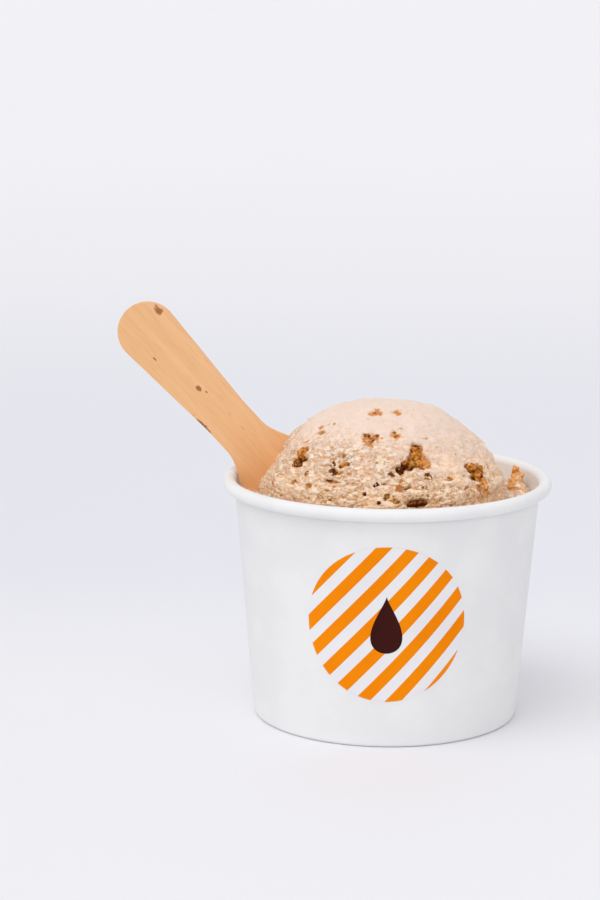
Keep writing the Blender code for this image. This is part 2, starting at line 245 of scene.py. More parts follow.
def cut_at_azimuth(bm, azimuth):
    """Adds a column of points down one side of what is turned."""
    way = Vector((math.sin(azimuth), -math.cos(azimuth), 0))
    faces = [f for f in bm.faces if f.calc_center_median().dot(way) > 0]
    edges = {e for f in faces for e in f.edges}
    verts = {v for f in faces for v in f.verts}
    bmesh.ops.bisect_plane(bm, geom=[*verts, *edges, *faces], dist=TOUCHING, plane_co=(0, 0, 0),
                           plane_no=(math.cos(azimuth), math.sin(azimuth), 0))


def lap_seam(bm):
    """Thickens the wall where its ends lap, with a cut edge outside and another inside."""
    for along in (0, CUT_EDGE, SEAM_LAP, SEAM_LAP + CUT_EDGE):
        cut_at_azimuth(bm, SEAM_AT + along / FOOT_RADIUS)
    for vert in bm.verts:
        along = (azimuth_of(vert.co) - SEAM_AT) * FOOT_RADIUS
        kept = smoothstep(SEAM_FOOT, SEAM_FULL, vert.co.z) * SEAM_STEP
        outer = kept * smoothstep(0, CUT_EDGE, along)
        outer *= 1 - smoothstep(SEAM_LAP, SEAM_LAP + SEAM_RAMP, along)
        inner = kept * smoothstep(-SEAM_RAMP, 0, along)
        inner *= 1 - smoothstep(SEAM_LAP, SEAM_LAP + CUT_EDGE, along)
        way = vert.co.xy.normalized().to_3d()
        radius = vert.co.xy.length
        middle = way * ROLL_MIDDLE.x + Vector((0, 0, ROLL_MIDDLE.z))
        from_roll = vert.co - middle
        curled = vert.co.z > ROLL_MIDDLE.z - ROLL_RADIUS - GAP
        if curled and radius > wall_radius(vert.co.z) + SLACK or vert.co.z > ROLL_MIDDLE.z - SLACK:
            on_skin = from_roll.length > ROLL_RADIUS - PAPER / 2
            vert.co += from_roll.normalized() * (inner if on_skin else -outer)
        elif radius > wall_radius(vert.co.z) - PAPER / 2:
            vert.co += way * outer
        elif radius > wall_radius(vert.co.z) - PAPER - SLACK:
            vert.co -= way * inner


def spin_section(bm, verts, closing, columns, merge):
    """Turns a section once round the cup's axis; closing holds the point that ends a closed one."""
    edges = [bm.edges.new(pair) for pair in zip(verts, verts[1:] + closing)]
    bmesh.ops.spin(bm, geom=verts + edges, axis=(0, 0, 1), cent=(0, 0, 0), angle=2 * math.pi,
                   steps=columns, use_merge=True)
    bmesh.ops.remove_doubles(bm, verts=bm.verts, dist=merge)
    bmesh.ops.recalc_face_normals(bm, faces=bm.faces)


def turn_wall():
    """The wall, turned from its section, with its lap down the back."""
    bm = bmesh.new()
    verts = [bm.verts.new((0, -r, z)) for r, z in wall_profile()]
    spin_section(bm, verts, verts[:1], WALL_COLUMNS, TOUCHING)
    lap_seam(bm)
    return bm


cup_board = paper_finish("cup_board", paint(236, 236, 235), paint(232, 232, 232), 0.45, 1400.0, 0.3)
rolled_wall = link_piece("rolled_wall", turn_wall(), cup_board)
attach(rolled_wall, "root")
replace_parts(rolled_wall, "cup_wall")

# Cup base. A disc of the same board, pressed into a shallow pan.
# Its turned-down skirt is glued between the wall and the hem.


def dress(node, finish):
    """Gives a piece of the frame its finish."""
    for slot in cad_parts[node].material_slots:
        slot.material = finish


dress("cup_base", cup_board)

# Label. A round sticker of thin coated paper on the front of the wall, printed with slanting orange
# stripes on white and with a plain drop of caramel in the middle.
LABEL_RADIUS = 17.9 * MM
LABEL_HEIGHT = 28.7 * MM
LABEL_SHIFT = 0.25 * MM           # its middle, to the right of the front
LABEL_PAPER = 0.12 * MM
LABEL_GLUE = 0.02 * MM
STRIPE_RISE = math.radians(48)    # up to the right
STRIPE_PITCH = 5.1 * MM
STRIPE_SHIFT = 0.35 * MM
ORANGE_WIDTH = 2.65 * MM
DROP_HALF_WIDTH = 4.3 * MM
DROP_HALF_HEIGHT = 6.6 * MM
DROP_POINT = 1.6                  # how slowly the drop widens from its tip
DROP_FILL = 1.18                  # makes up for the width that drawing it in takes away
BEND_STEP = 1.0 * MM              # width of the flat strips that bend round the wall
across_stripes = Vector((math.sin(STRIPE_RISE), -math.cos(STRIPE_RISE), 0))
WHITE_PRINT, ORANGE_PRINT = 0, 1


def slice_flat(bm, place, direction):
    """Cuts a flat sheet along a line, given by how far off it lies and the way across it."""
    bmesh.ops.bisect_plane(bm, geom=[*bm.verts, *bm.edges, *bm.faces], dist=TOUCHING,
                           plane_co=direction * place, plane_no=direction)


def slice_for_bend(bm, half_width):
    """Cuts a flat sheet into upright strips."""
    strips = math.floor(half_width / BEND_STEP)
    for i in range(-strips, strips + 1):
        slice_flat(bm, i * BEND_STEP, Vector((1, 0, 0)))


def thicken_flat(bm, thickness):
    """Gives a flat sheet its thickness, up from the plane it lies on."""
    bmesh.ops.recalc_face_normals(bm, faces=bm.faces)
    bmesh.ops.solidify(bm, geom=bm.faces, thickness=thickness)
    low = min(vert.co.z for vert in bm.verts)
    bmesh.ops.translate(bm, verts=bm.verts, vec=(0, 0, -low))
    bmesh.ops.recalc_face_normals(bm, faces=bm.faces)


def wrap_on_wall(bm, stand_off):
    """Rolls a flat sheet on to the front of the conical wall, unstretched."""
    lean = math.atan(WALL_SLOPE)
    to_apex = wall_radius(LABEL_HEIGHT) / math.sin(lean)
    for vert in bm.verts:
        across = vert.co.x + LABEL_SHIFT
        slant = math.hypot(across, to_apex + vert.co.y)
        turn = math.atan2(across, to_apex + vert.co.y) / math.sin(lean)
        z = LABEL_HEIGHT + (slant - to_apex) * math.cos(lean)
        radius = wall_radius(z) + stand_off + vert.co.z
        vert.co = (radius * math.sin(turn), -radius * math.cos(turn), z)


def in_orange(place):
    """True between the edges of an orange stripe."""
    return abs((place - STRIPE_SHIFT) % STRIPE_PITCH - STRIPE_PITCH / 2) < ORANGE_WIDTH / 2


def cut_label():
    """A round sheet, cut along its stripes, printed and rolled on to the wall."""
    bm = bmesh.new()
    bmesh.ops.create_circle(bm, cap_ends=True, segments=200, radius=LABEL_RADIUS)
    stripes = math.ceil(LABEL_RADIUS / STRIPE_PITCH)
    for i in range(-stripes, stripes + 1):
        middle = STRIPE_SHIFT + STRIPE_PITCH * (i + 0.5)
        slice_flat(bm, middle - ORANGE_WIDTH / 2, across_stripes)
        slice_flat(bm, middle + ORANGE_WIDTH / 2, across_stripes)
    slice_for_bend(bm, LABEL_RADIUS)
    thicken_flat(bm, LABEL_PAPER)
    for face in bm.faces:
        printed = face.normal.z > 0.5 and in_orange(face.calc_center_median().dot(across_stripes))
        face.material_index = ORANGE_PRINT if printed else WHITE_PRINT
    wrap_on_wall(bm, LABEL_GLUE)
    return bm


def cut_drop():
    """A drop with its tip up: a circle drawn in towards the tip."""
    bm = bmesh.new()
    bmesh.ops.create_circle(bm, cap_ends=True, segments=96, radius=1)
    for vert in bm.verts:
        turn = math.atan2(vert.co.x, vert.co.y) % (2 * math.pi)
        narrow = math.sin(turn / 2) ** DROP_POINT
        across = DROP_HALF_WIDTH * DROP_FILL * math.sin(turn) * narrow
        vert.co = (across, DROP_HALF_HEIGHT * math.cos(turn), 0)
    slice_for_bend(bm, DROP_HALF_WIDTH)
    thicken_flat(bm, LABEL_GLUE)
    wrap_on_wall(bm, LABEL_GLUE + LABEL_PAPER + LABEL_GLUE / 2)
    return bm


label_white = paper_finish("label_white", paint(235, 234, 235), paint(231, 230, 232), 0.4, 2200.0, 0.3)
label_orange = paper_finish("label_orange", paint(246, 140, 2), paint(243, 134, 1), 0.5, 2200.0, 0.05)
label_brown = paper_finish("label_brown", paint(58, 14, 8), paint(52, 11, 6), 0.5, 2200.0, 0.1)
round_label = link_piece("round_label", cut_label(), label_white, label_orange)
label_drop = link_piece("label_drop", cut_drop(), label_brown)
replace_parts(round_label, "label")
for printed in (round_label, label_drop):
    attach(printed, "root")

# Gelato. Caramel gelato fills the cup to a ring below the rim, and one round scoop stands on it.
# The scoop's edge has torn the cold gelato into level ledges and pits, smooth near the top
# and grainy towards the foot, with smears of caramel where it was cut through.
BASE_TOP = 6.0 * MM               # of the paper base that it lies on
BASE_CORNER = 0.8 * MM
DOME_WIDTH = 32.4 * MM            # half axes and middle height of the scoop's ellipsoid
DOME_HEIGHT = 36.7 * MM
DOME_MIDDLE = 36.3 * MM
DOME_SHIFT = -1.0 * MM            # the scoop leans this far to the left
DOME_FOOT = 51.0 * MM
TUCK = 1.6 * MM                   # how far the scoop draws in at its foot
TUCK_HEIGHT = 5.0 * MM
RING_HEIGHT = 49.5 * MM
RING_LIP = 0.5 * MM               # how far the gelato creeps up the wall
RING_HOLLOW = [(1.2, 0), (3.0, 0), (4.4, 0.4)]   # in from the wall and up, in mm
RING_SKIN = 0.1 * MM              # a point this close under the ring's height is on its surface
HEAPED_FROM, HEAPED_TO = -1.0 * MM, 2.0 * MM     # out from the hollow's inner side, where heaps set in
EASED_FROM, EASED_TO = 2.6 * MM, 4.4 * MM        # and where they get lower towards the wall
EASED_BY = 0.7                    # share of their height that they lose there
SIDE_HEAP = Vector((29.9, 9.5)) * MM             # its middle, on the right
SIDE_HEAP_RISE = 5.8 * MM
SIDE_HEAP_WIDTH = 3.2 * MM
SIDE_HEAP_POINT = 1.3             # 2 is a round top, 1 a sharp one
LEFT_RISE = 1.4 * MM              # pushed up against the wall by the spoon
LEFT_WIDTH = math.radians(24)
RING_WAVY = 0.35 * MM
RING_WAVES = 0.22                 # for each mm

# Relief that the plain solid has too, in mm, with its waves for each mm
SWELLS, SWELL_WAVES = 0.8, 0.085
RIDGES, RIDGE_WAVES = 0.55, Vector((0.17, 0.17, 0.62))
GRAINS, GRAIN_WAVES = 0.3, 0.45
RIDGES_FROM, RIDGES_FADE, RIDGES_TO = 52, 62, 69   # heights
RIDGES_SOFT, RIDGES_LOST = 2, 0.75   # how softly they set in, and the share that is gone at the top
SPOON_DENT, DENT_MIDDLE, DENT_WIDTH = 1.6, Vector((-27, 0, 59)), 7

# The scoop's right side, in mm: a fuller shoulder over a flatter foot, by middle, width and rise
RIGHT_SIDE = [(Vector((14, 2, 69)), 9, 0.65), (Vector((25, 2, 60)), 6, -0.25)]

# Finer relief: broken flakes in two sizes, torn ledges, pits and grains, in mm
FLAKES, FLAKE_WAVES = 0.34, Vector((0.4, 0.4, 0.82))
CHIPPINGS, CHIPPING_WAVES = 0.3, Vector((0.85, 0.85, 1.6))
LEDGES, LEDGE_PITCH = 0.3, 1.6
PITS, PIT_WAVES = 0.75, Vector((0.45, 0.45, 0.85))
POWDERY, POWDERY_WAVES = 0.16, Vector((1.5, 1.5, 2.2))
TORN_FROM, TORN_FULL = 47, 51.5   # heights between which the torn surface sets in
TORN_TO, TORN_LESS = 67, 8        # how high it is torn on the left, and how much lower on the right
TORN_LEAST = 0.15                 # share of it that goes on above
ROUGH_TO, SMOOTH_FROM = 63, 72    # heights between which its colour turns smooth
HOLLOW_ROUNDS, HOLLOW_DEPTH = 6, 0.16 * MM
GELATO_COLUMNS = 480
DOME_RINGS = 150
RING_STEPS = 12

# Stains: kind, azimuth, height angle, width, height in mm, and turn in degrees
STAINS = [
    ("orange", -10, 72.5, 3.8, 3.2, 0), ("brown", -12, 72.8, 1.3, 0.9, 0),
    ("orange", 18, 73, 2.2, 2.8, 0), ("orange", -8.5, 57, 4.4, 3.2, 0),
    ("brown", -12, 58.6, 2.0, 1.1, 10), ("brown", -5, 58.8, 1.8, 0.9, 0),
    ("brown", -8, 56.2, 1.6, 1.8, 20), ("orange", -8, 53.5, 2.6, 2.4, 0),
    ("brown", 10, 60.6, 1.2, 1.2, 0), ("orange", 10, 59, 2.4, 3.2, 0),
    ("orange", 12, 45, 3.0, 2.0, 30), ("brown", 8, 43.6, 2.4, 1.6, 35),
    ("brown", 5, 41, 1.5, 1.6, 30), ("olive", 24, 40.5, 1.6, 1.2, 0),
    ("olive", 35, 38, 2.6, 1.2, 0), ("orange", 10, 38.8, 2.2, 1.3, 20),
    ("orange", 8, 36, 2.4, 2.0, 0), ("olive", 13.5, 36.8, 1.6, 1.2, 0),
    ("brown", 20, 36, 1.0, 0.9, 0), ("brown", 2, 33, 1.6, 1.6, 40),
    ("brown", 4.5, 31.8, 1.8, 1.4, 50), ("brown", -8.5, 33.7, 0.8, 0.7, 0),
    ("brown", -1.6, 30.3, 0.8, 0.7, 0), ("orange", 52, 32.5, 2.4, 3.6, 15),
    ("olive", 72, 39, 1.2, 2.6, 0), ("olive", -55, 62, 1.0, 0.8, 0),
    ("olive", -48, 63, 0.9, 0.7, 0), ("olive", -54, 57.5, 3.6, 1.6, 20),
    ("orange", -60, 60, 2.0, 1.4, 30), ("orange", -52, 46.5, 3.4, 2.4, 0),
    ("brown", -28, 44.7, 1.1, 0.9, 0), ("orange", -21, 44.2, 2.8, 1.4, 15),
    ("brown", -26, 41.2, 2.2, 1.5, 20), ("orange", -23, 40.8, 2.2, 1.4, 10),
    ("orange", -25, 37.3, 4.2, 0.9, 5), ("brown", -27, 37.4, 1.6, 0.6, 5),
    ("orange", -66, 43, 1.4, 1.2, 0), ("brown", -41, 38.5, 1.0, 0.9, 0),
    ("olive", -36, 34.3, 1.6, 1.5, 0), ("brown", -37, 34.4, 0.9, 0.8, 0),
    ("olive", -46, 34.7, 1.8, 1.4, 0), ("orange", -62, 32, 2.0, 1.2, 0),
    ("olive", -35, 29.8, 1.8, 0.8, 0), ("olive", -23, 31, 2.2, 0.9, 0),
    ("olive", -33, 51, 1.3, 0.8, 20), ("olive", -24, 48, 2.6, 1.1, 15),
    ("olive", 33, 57, 1.8, 0.5, 0), ("olive", 15, 63, 1.4, 0.5, 0),
    ("orange", -47, 41, 1.6, 1.0, 0), ("olive", -60, 52, 1.8, 0.8, 30),
    ("orange", 44, 34, 3.0, 1.0, 10),
]
HEAP_STAIN, HEAP_STRENGTH = 9.0, 0.55   # size in mm and strength of the wash over the side heap
STAIN_SPREAD = 1.5                # the halo's size over that of the stain
STAIN_DIP = 0.18 * MM
STAINS_BEHIND = 34
STAINS_FROM, STAINS_TO = 98, 262  # azimuths of those at the back
STAIN_SEED = 11
FLAKE_SEED = 5
STAIN_KINDS = ("orange", "brown", "olive")
PATCH_UNEVEN = ((0.45, 0.9), (0.25, 2.1))   # of a patch's edge: how much, and waves for each mm


noise.seed_set(FLAKE_SEED)        # without it noise_vector takes its offsets from the clock


def dome_point(azimuth, angle):
    """A point of the smooth scoop and the way out of it there."""
    way = Vector((math.sin(azimuth), -math.cos(azimuth), 0))
    z = DOME_MIDDLE + DOME_HEIGHT * math.sin(angle)
    tuck = TUCK * (1 - smoothstep(DOME_FOOT, DOME_FOOT + TUCK_HEIGHT, z))
    point = way * (DOME_WIDTH * math.cos(angle) - tuck) + Vector((DOME_SHIFT, 0, z))
    outward = way * math.cos(angle) / DOME_WIDTH + Vector((0, 0, math.sin(angle) / DOME_HEIGHT))
    return point, outward.normalized()


def scoop_relief(point):
    """How far the scoop stands proud: slow swells, level ridges, its right side, and a dent."""
    p = point / MM
    swells = SWELLS * noise.noise(p * SWELL_WAVES)
    ridged = smoothstep(RIDGES_FROM - RIDGES_SOFT, RIDGES_FROM + RIDGES_SOFT, p.z)
    ridged *= 1 - RIDGES_LOST * smoothstep(RIDGES_FADE, RIDGES_TO, p.z)
    ridges = RIDGES * ridged * noise.noise(p * RIDGE_WAVES)
    grains = GRAINS * noise.noise(p * GRAIN_WAVES)
    dent = SPOON_DENT * math.exp(-((p - DENT_MIDDLE).length / DENT_WIDTH) ** 2)
    side = sum(rise * math.exp(-((p - middle).length / width) ** 2) for middle, width, rise in RIGHT_SIDE)
    return (swells + ridges + grains + side - dent) * MM


def on_scoop(point):
    """True for a point of the scoop, and False for one of the filling under it."""
    return point.z >= DOME_FOOT - 0.02 * MM


def ring_rise(point):
    """How far the ring of gelato between scoop and wall is heaped up."""
    from_heap = (point.xy - SIDE_HEAP).length / SIDE_HEAP_WIDTH
    heap = SIDE_HEAP_RISE * math.exp(-from_heap ** SIDE_HEAP_POINT)
    turn = math.atan2(point.y, -point.x) / LEFT_WIDTH
    pushed = LEFT_RISE * math.exp(-turn ** 2)
    wavy = RING_WAVY * noise.noise(point / MM * RING_WAVES)
    return heap + pushed + wavy


def draw(place):
    """A number from 0 to 1 that belongs to a place, and jumps from one place to the next."""
    return math.sin(place.dot(Vector((12.99, 78.23, 37.72)))) * 43758.5 % 1


def flakes(p, waves):
    """Broken flakes, each standing out at its lower edge, with cracks between them."""
    place = p * waves + 0.35 * noise.noise_vector(p * 0.55)
    near, cells = noise.voronoi(place)
    lower = cells[0].z - place.z
    return smoothstep(0, 0.16, near[1] - near[0]) * (0.4 + 0.45 * draw(cells[0]) + 0.7 * lower)


def torn_relief(point):
    """Height of the torn, crumbly surface over the smooth one, and how torn it is."""
    p = point / MM
    top = TORN_TO - TORN_LESS * smoothstep(1, 14, p.x)
    torn = smoothstep(TORN_FROM, TORN_FULL, p.z)
    torn *= 1 - (1 - TORN_LEAST) * smoothstep(top - 6, top + 2, p.z)
    patch = smoothstep(-0.3, 0.25, noise.noise(p * 0.13 + Vector((4, 9, 2))))
    level = p.z / LEDGE_PITCH + 1.5 * noise.noise(p * 0.17) + 0.6 * noise.noise(p * 0.6)
    ledge = (1 - level % 1) * smoothstep(0, 0.2, level % 1)
    near, cells = noise.voronoi(p * PIT_WAVES)
    pit = 0
    if draw(cells[0]) < 0.1 + 0.25 * torn * patch:
        pit = smoothstep(0.34, 0.08, near[0]) * (0.3 + 0.7 * torn)
    kept = torn * (0.25 + 0.75 * patch)
    height = FLAKES * kept * flakes(p, FLAKE_WAVES) + LEDGES * kept * ledge - PITS * pit
    height += CHIPPINGS * (0.15 + 0.85 * kept) * flakes(p, CHIPPING_WAVES)
    height += POWDERY * (0.3 + 0.7 * torn) * noise.noise(p * POWDERY_WAVES)
    return height * MM, 0.3 * torn + 0.5 * kept + 0.3 * (1 - smoothstep(ROUGH_TO, SMOOTH_FROM, p.z))


def gelato_meridian():
    """Outline of the filling at one azimuth, from the base's middle to the scoop's foot."""
    low = BASE_TOP + GAP
    top = RING_HEIGHT + RING_LIP
    wall_top = wall_radius(top) - PAPER - GAP
    wall_foot = wall_radius(low) - PAPER - GAP
    points = [(0, low), (wall_foot - BASE_CORNER, low), (wall_foot, low + BASE_CORNER), (wall_top, top)]
    foot = -dome_point(0, math.asin((DOME_FOOT - DOME_MIDDLE) / DOME_HEIGHT))[0].y
    turns = [(wall_top, top)] + [(wall_top - r * MM, RING_HEIGHT + z * MM) for r, z in RING_HOLLOW]
    turns += [(foot, DOME_FOOT)]
    for i in range(1, RING_STEPS):
        radius = wall_top + (foot - wall_top) * i / RING_STEPS
        for (outer, outer_z), (inner, inner_z) in zip(turns, turns[1:]):
            if inner <= radius <= outer:
                share = (outer - radius) / (outer - inner)
                points.append((radius, outer_z + (inner_z - outer_z) * share))
                break
    return points


def turn_gelato():
    """The smooth body, and for each point the way out of it."""
    low_angle = math.asin((DOME_FOOT - DOME_MIDDLE) / DOME_HEIGHT)
    angles = [low_angle + (math.pi / 2 - low_angle) * i / DOME_RINGS for i in range(DOME_RINGS + 1)]
    bm = bmesh.new()
    bm.verts.layers.float_color.new("stain")
    for name in ("shade_and_highlight_depth", "torn"):
        bm.verts.layers.float.new(name)
    profile = [bm.verts.new((0, -r, z)) for r, z in gelato_meridian()]
    for angle in angles:
        profile.append(bm.verts.new(dome_point(0, angle)[0] - Vector((DOME_SHIFT, 0, 0))))
    spin_section(bm, profile, [], GELATO_COLUMNS, 2 * TOUCHING)
    bm.verts.ensure_lookup_table()
    ring_inner = wall_radius(RING_HEIGHT) - PAPER - GAP - RING_HOLLOW[-1][0] * MM
    outward = {}
    for vert in bm.verts:
        if on_scoop(vert.co):
            angle = math.asin(min((vert.co.z - DOME_MIDDLE) / DOME_HEIGHT, 1))
            vert.co, outward[vert] = dome_point(azimuth_of(vert.co), angle)
        elif vert.co.z > RING_HEIGHT - RING_SKIN:
            radius = vert.co.xy.length
            share = smoothstep(ring_inner + HEAPED_FROM, ring_inner + HEAPED_TO, radius)
            share *= 1 - EASED_BY * smoothstep(ring_inner + EASED_FROM, ring_inner + EASED_TO, radius)
            vert.co.z += ring_rise(vert.co) * share
            outward[vert] = Vector((0, 0, 1))
    return bm, outward


def seat_on_scoop(azimuth, angle, sink=0.0):
    """The place and turn of a thing on the scoop: X level, Y up the slope, Z out of it."""
    point, outward = dome_point(math.radians(azimuth), math.radians(angle))
    level = Vector((0, 0, 1)).cross(outward).normalized()
    turn = Matrix((level, outward.cross(level), outward)).transposed().to_4x4()
    return Matrix.Translation(point + outward * (scoop_relief(point) - sink)) @ turn


def patch_points(places, seat, width, height):
    """Points near a seat with how far out in an ellipse each lies, 1 at its uneven edge."""
    inside = seat.inverted()
    reach = (0.8 * max(width, height) + 1) * MM
    for co, index, _ in places.find_range(seat.translation, reach):
        flat = inside @ co / MM
        out = math.hypot(flat.x * 2 / width, flat.y * 2 / height)
        for uneven, waves in PATCH_UNEVEN:
            out += uneven * noise.noise(co / MM * waves)
        yield index, out


def all_stains():
    """The stains that the front shows, those on the side heap, and seeded ones round the back."""
    rng = random.Random(STAIN_SEED)
    stains = list(STAINS)
    for i in range(STAINS_BEHIND):
        azimuth = STAINS_FROM + (STAINS_TO - STAINS_FROM) * (i + rng.random()) / STAINS_BEHIND
        size = rng.uniform(1.0, 3.4)
        stains.append((rng.choice(STAIN_KINDS), azimuth, rng.uniform(27, 68), size,
                       size * rng.uniform(0.35, 0.8), rng.uniform(-25, 25)))
    for kind, azimuth, angle, width, height, turned in stains:
        seat = seat_on_scoop(azimuth, angle) @ Matrix.Rotation(math.radians(turned), 4, "Z")
        yield kind, seat, width, height, 1.0
    heap = Vector((*SIDE_HEAP, RING_HEIGHT + SIDE_HEAP_RISE / 2))
    yield "orange", Matrix.Translation(heap), HEAP_STAIN, HEAP_STAIN, HEAP_STRENGTH


def hollows(surface, proud):
    """How deep each point lies under those around it, below 0 where it stands out."""
    number = {vert: index for index, vert in enumerate(surface)}
    around = []
    for vert in surface:
        near = (edge.other_vert(vert) for edge in vert.link_edges)
        around.append([number[other] for other in near if other in number])
    smooth = proud
    for _ in range(HOLLOW_ROUNDS):
        smooth = [0.5 * smooth[i] + 0.5 * sum(smooth[k] for k in near) / len(near)
                  for i, near in enumerate(around)]
    return [(low - high) / HOLLOW_DEPTH for low, high in zip(smooth, proud)]


# Caramel in the scoop: each piece is lumps that hold together, given by azimuth, height angle,
# width, height and depth in mm, and how light it is
CARAMEL_PIECES = {
    "caramel_front": [(22, 52.3, 3.0, 2.6, 3.2, 0.4), (21.5, 49.2, 3.4, 2.6, 3.4, 0.75),
                      (23.5, 46, 3.4, 2.9, 3.2, 1.1), (18, 46.6, 3.2, 2.8, 3.2, 0.6),
                      (13, 45.4, 2.6, 2.6, 2.8, 0.25), (9.5, 43.2, 1.8, 2.0, 2.4, 0.15)],
    "caramel_right": [(53.5, 40.8, 3.2, 2.8, 3.2, 0.55), (58.5, 39.2, 3.0, 2.8, 3.2, 0.35),
                      (54.5, 37, 3.8, 2.6, 3.0, 0.7), (57.5, 34.6, 2.4, 3.0, 2.6, 0.9),
                      (56.5, 32.3, 1.7, 2.6, 2.2, 1.0)],
    "caramel_left": [(-53, 47, 3.2, 2.6, 2.8, 0.9), (-51.5, 44.4, 3.8, 2.6, 3.0, 0.4),
                     (-51, 41.9, 3.4, 2.4, 2.8, 0.15)],
    "caramel_rim": [(13.5, 30.2, 2.2, 1.4, 2.4, 0.0), (16.5, 30.4, 2.6, 1.5, 2.4, 0.15),
                    (19, 30.3, 2.2, 1.3, 2.2, 0.0)],
    "caramel_back_low": [(162, 37.5, 3.4, 2.8, 3.0, 0.7), (166.5, 35.5, 3.2, 2.6, 3.0, 0.3),
                         (161, 34, 2.6, 2.2, 2.8, 0.5)],
    "caramel_back_high": [(-159.5, 57, 3.0, 2.4, 2.8, 0.6), (-155, 55, 3.0, 2.8, 2.8, 0.35)],
}
RECESS = 0.7 * MM                 # how deep the gelato stands back under a piece
RECESS_EDGE = 0.4                 # by how much the recess is wider than the piece, in mm
MELTED = 0.4                      # strength of the stain round a piece
UPPER_CREAM = 49 * MM, 71 * MM    # heights between which the cream gets less orange
RING_CREAM = 50.5 * MM, 52.5 * MM   # and between which the ring's paler cream ends
CURD_DEPTH, CURD_SHADE = 0.05 * MM, 1.7   # of the finest relief: its depth, and how strongly it darkens the painted shade and lightens the painted highlight


def smear_stains(places, proud, amounts):
    """Notes how strong each kind of stain is at each point, and lets it sink in a little."""
    for kind, seat, width, height, strength in all_stains():
        channel = STAIN_KINDS.index(kind)
        for index, out in patch_points(places, seat, width * STAIN_SPREAD, height * STAIN_SPREAD):
            amount = strength * (1 - smoothstep(0.1, 1.0, out))
            amounts[index][channel] = max(amounts[index][channel], amount)
            proud[index] -= STAIN_DIP * smoothstep(0.3, 0.8, amount)


def press_in_caramel(places, proud, amounts):
    """Sets the surface back under each caramel piece, and stains it round the edge."""
    for lumps in CARAMEL_PIECES.values():
        for azimuth, angle, width, height, _, _ in lumps:
            seat = seat_on_scoop(azimuth, angle)
            for index, out in patch_points(places, seat, width + RECESS_EDGE, height + RECESS_EDGE):
                proud[index] -= RECESS * (1 - smoothstep(0.8, 1.1, out))
                amounts[index][0] = max(amounts[index][0], MELTED * (1 - smoothstep(0.9, 1.3, out)))


def shape_gelato():
    """The smooth body with its relief, stains and recesses, and what its colours follow."""
    bm, outward = turn_gelato()
    surface = [vert for vert in bm.verts if vert in outward]
    places = kdtree.KDTree(len(surface))
    for index, vert in enumerate(surface):
        places.insert(vert.co, index)
    places.balance()
    proud, tears = [], []
    for vert in surface:
        height, torn = torn_relief(vert.co)
        proud.append(height + scoop_relief(vert.co) if on_scoop(vert.co) else height)
        tears.append(torn)
    amounts = [[0.0, 0.0, 0.0] for _ in surface]
    smear_stains(places, proud, amounts)
    # How deep each point lies under its neighbours, kept for painted shade in hollows and painted
    # highlight where it stands out
    hollow = hollows(surface, proud)
    press_in_caramel(places, proud, amounts)
    stain = bm.verts.layers.float_color["stain"]
    shade_and_highlight_depth = bm.verts.layers.float["shade_and_highlight_depth"]
    torn = bm.verts.layers.float["torn"]
    for index, vert in enumerate(surface):
        vert.co += outward[vert] * proud[index]
        vert[stain] = (*amounts[index], 1)
        vert[shade_and_highlight_depth] = hollow[index]
        vert[torn] = tears[index]
    return bm


def attribute(tree, name, output="Fac"):
    """What the mesh says about a point, by the name that it is kept under."""
    return add(tree, "Attribute", {}, attribute_name=name).outputs[output]


def curd_rise(tree, position):
    """Relief finer than the mesh: level curds with cracks between them, and grit, where it is torn."""
    torn = between(tree, attribute(tree, "torn"), 0.0, 0.9, 0.13, 1.0, "LINEAR")
    curds = spots(tree, stretch(tree, position, (620, 620, 1300)), 1.0, 5.0, 0.72)
    off_crack = sums(tree, "ABSOLUTE", sums(tree, "SUBTRACT", curds, 0.47))
    crack = between(tree, off_crack, 0.0, 0.05, 1.0, 0.0)
    grit = spots(tree, position, 2300.0, 3.0, 0.6)
    rise = sums(tree, "ADD", between(tree, curds, 0.25, 0.75, -1.0, 1.0, "LINEAR"),
                between(tree, grit, 0.25, 0.75, -0.8, 0.8, "LINEAR"))
    return sums(tree, "MULTIPLY", sums(tree, "SUBTRACT", rise, crack), torn)


